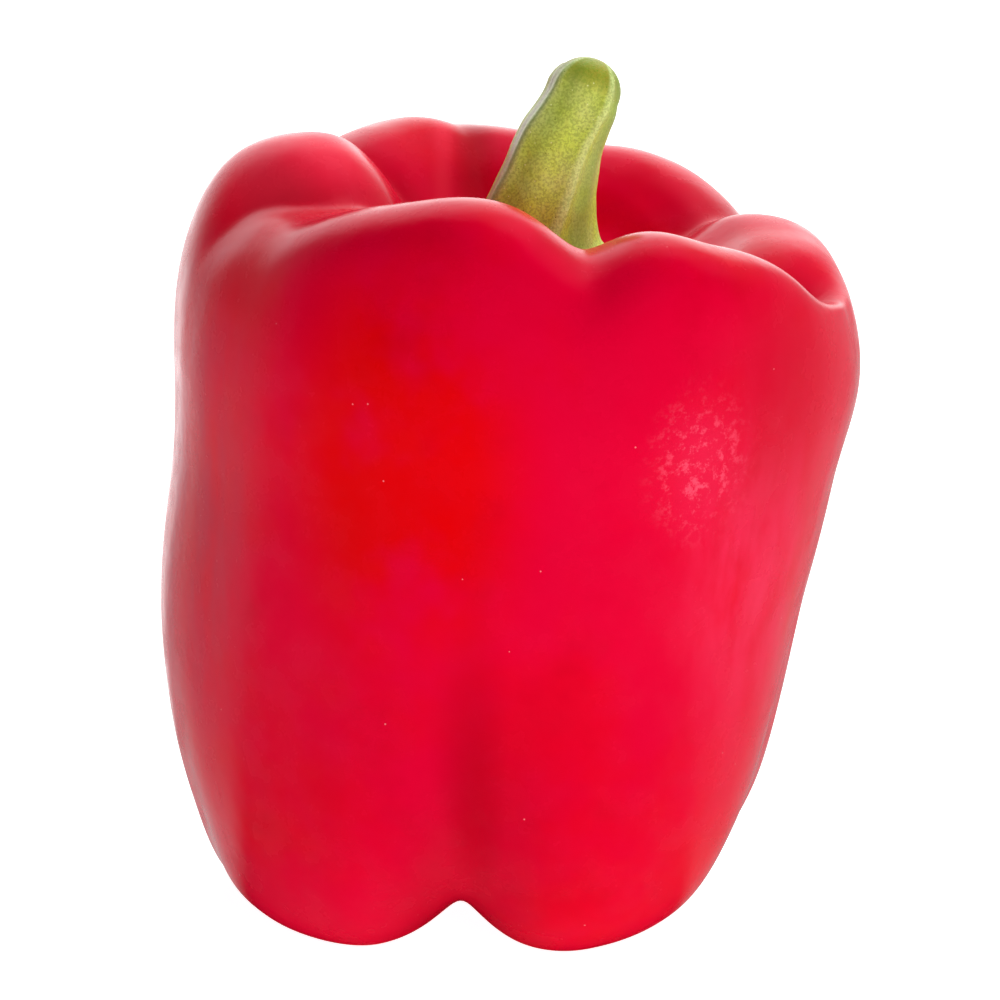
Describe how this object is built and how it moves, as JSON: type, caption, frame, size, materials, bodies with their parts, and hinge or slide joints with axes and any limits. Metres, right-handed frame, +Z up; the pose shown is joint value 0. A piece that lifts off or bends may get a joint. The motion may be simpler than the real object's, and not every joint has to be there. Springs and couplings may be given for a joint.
{
  "type": "bell pepper",
  "caption": "Whole red bell pepper standing upright on its lobes, with a leaning ridged green stem in a toothed calyx.",
  "frame": {"origin": "middle of the outline seen from above, on the plane that the pepper's feet rest on", "axes": "+Z up through the stem, -Y towards the viewer's side, the stem and the fruit lean towards +X"},
  "size_m": [0.0906, 0.0886, 0.1113],
  "materials": {
    "fruit_skin": "glossy waxy red pepper skin",
    "calyx_green": "satin green leaf tissue",
    "stem_green": "satin speckled green stalk"
  },
  "bodies": {
    "root": {"fruit": "fruit_skin", "calyx": "calyx_green", "stem": "stem_green"}
  },
  "joints": []
}
